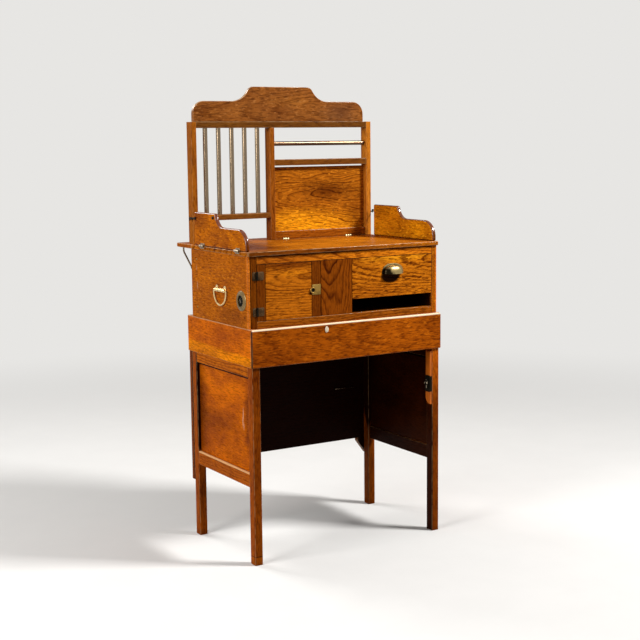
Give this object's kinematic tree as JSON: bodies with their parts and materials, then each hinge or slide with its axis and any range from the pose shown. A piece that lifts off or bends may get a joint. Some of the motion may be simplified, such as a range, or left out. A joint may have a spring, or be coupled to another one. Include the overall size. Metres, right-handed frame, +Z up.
{
  "type": "teller desk",
  "caption": "Oak teller desk on a table stand: till drawer, cupboard and drawer case, counter with folding side galleries, railed screen with a crest and a fold-down flap.",
  "frame": {"origin": "on the floor, below the middle of the desk's outline seen from above", "axes": "+Z up, +X to the right of a teller facing the desk, +Y from the till drawer's face towards the rear ledge"},
  "size_m": [0.7496, 0.5224, 1.5233],
  "materials": {
    "golden_oak": "satin varnish",
    "amber_oak": "satin varnish",
    "brown_oak": "satin varnish",
    "dark_oak": "satin varnish",
    "pale_oak": "bare",
    "steel": "worn satin",
    "brass": "aged satin"
  },
  "bodies": {
    "desk": {"leg_front_left": "amber_oak", "leg_front_right": "amber_oak", "leg_rear_left": "amber_oak", "leg_rear_right": "amber_oak", "end_top_rail_left": "amber_oak", "end_top_rail_right": "amber_oak", "end_bottom_rail_left": "amber_oak", "end_bottom_rail_right": "amber_oak", "end_panel_left": "amber_oak", "end_panel_right": "amber_oak", "table_top": "amber_oak", "case_side_left": "amber_oak", "case_side_right": "amber_oak", "counter_top": "amber_oak", "ledge": "amber_oak", "screen_stile_left": "amber_oak", "screen_stile_centre": "amber_oak", "screen_stile_right": "amber_oak", "screen_top_rail": "amber_oak", "screen_lower_rail": "amber_oak", "screen_middle_rail": "amber_oak", "table_side_left": "brown_oak", "table_side_right": "brown_oak", "table_bottom": "brown_oak", "back_panel": "brown_oak", "case_bottom": "brown_oak", "case_back": "brown_oak", "case_divider": "brown_oak", "case_top_rail": "brown_oak", "case_bottom_rail": "brown_oak", "drawer_shelf": "brown_oak", "crest": "brown_oak", "case_left_stile": "dark_oak", "case_centre_stile": "dark_oak", "brace_left": "steel", "brace_right": "steel", "rod_1": "steel", "rod_2": "steel", "rod_3": "steel", "rod_4": "steel", "rod_5": "steel", "cross_rod": "steel", "handle_strap_left": "brass", "handle_strap_right": "brass"},
    "till": {"till_front": "brown_oak", "till_box": "pale_oak"},
    "door": {"door_hinge_stile": "dark_oak", "door_panel": "golden_oak", "door_lock_stile": "dark_oak"},
    "drawer": {"drawer_front": "golden_oak", "drawer_box": "pale_oak", "drawer_pull": "brass"},
    "flap": {"flap_panel": "golden_oak", "flap_batten": "golden_oak"},
    "gallery_left": {"gallery_left": "amber_oak"},
    "gallery_right": {"gallery_right": "amber_oak"},
    "hook_left": {"hook_left": "steel"},
    "hook_right": {"hook_right": "steel"},
    "ring_left": {"handle_ring_left": "brass"},
    "ring_right": {"handle_ring_right": "brass"}
  },
  "joints": [
    {"name": "till_slide", "type": "slide", "parent": "desk", "child": "till", "axis": [0, -1, 0], "range_m": [0, 0.3]},
    {"name": "drawer_slide", "type": "slide", "parent": "desk", "child": "drawer", "axis": [0, -1, 0], "range_m": [0, 0.25]},
    {"name": "door_hinge", "type": "hinge", "parent": "desk", "child": "door", "pos_m": [-0.3311, -0.24195, 0.8707], "axis": [0, 0, -1], "range_deg": [0, 170]},
    {"name": "flap_hinge", "type": "hinge", "parent": "desk", "child": "flap", "pos_m": [0.148, 0.16055, 1.0007], "axis": [1, 0, 0], "range_deg": [0, 90]},
    {"name": "gallery_hinge_left", "type": "hinge", "parent": "desk", "child": "gallery_left", "pos_m": [-0.3685, -0.05315, 1.0004], "axis": [0, -1, 0], "range_deg": [0, 180]},
    {"name": "gallery_hinge_right", "type": "hinge", "parent": "desk", "child": "gallery_right", "pos_m": [0.3685, -0.05315, 1.0004], "axis": [0, 1, 0], "range_deg": [0, 180]},
    {"name": "hook_pivot_left", "type": "hinge", "parent": "gallery_left", "child": "hook_left", "pos_m": [-0.36525, 0.11685, 1.0889], "axis": [1, 0, 0], "range_deg": [0, 100]},
    {"name": "hook_pivot_right", "type": "hinge", "parent": "gallery_right", "child": "hook_right", "pos_m": [0.36525, 0.11685, 1.0889], "axis": [1, 0, 0], "range_deg": [0, 100]},
    {"name": "ring_hinge_left", "type": "hinge", "parent": "desk", "child": "ring_left", "pos_m": [-0.36955, -0.06045, 0.8663], "axis": [0, 1, 0], "range_deg": [-2, 100]},
    {"name": "ring_hinge_right", "type": "hinge", "parent": "desk", "child": "ring_right", "pos_m": [0.36955, -0.06045, 0.8663], "axis": [0, -1, 0], "range_deg": [-2, 100]}
  ]
}
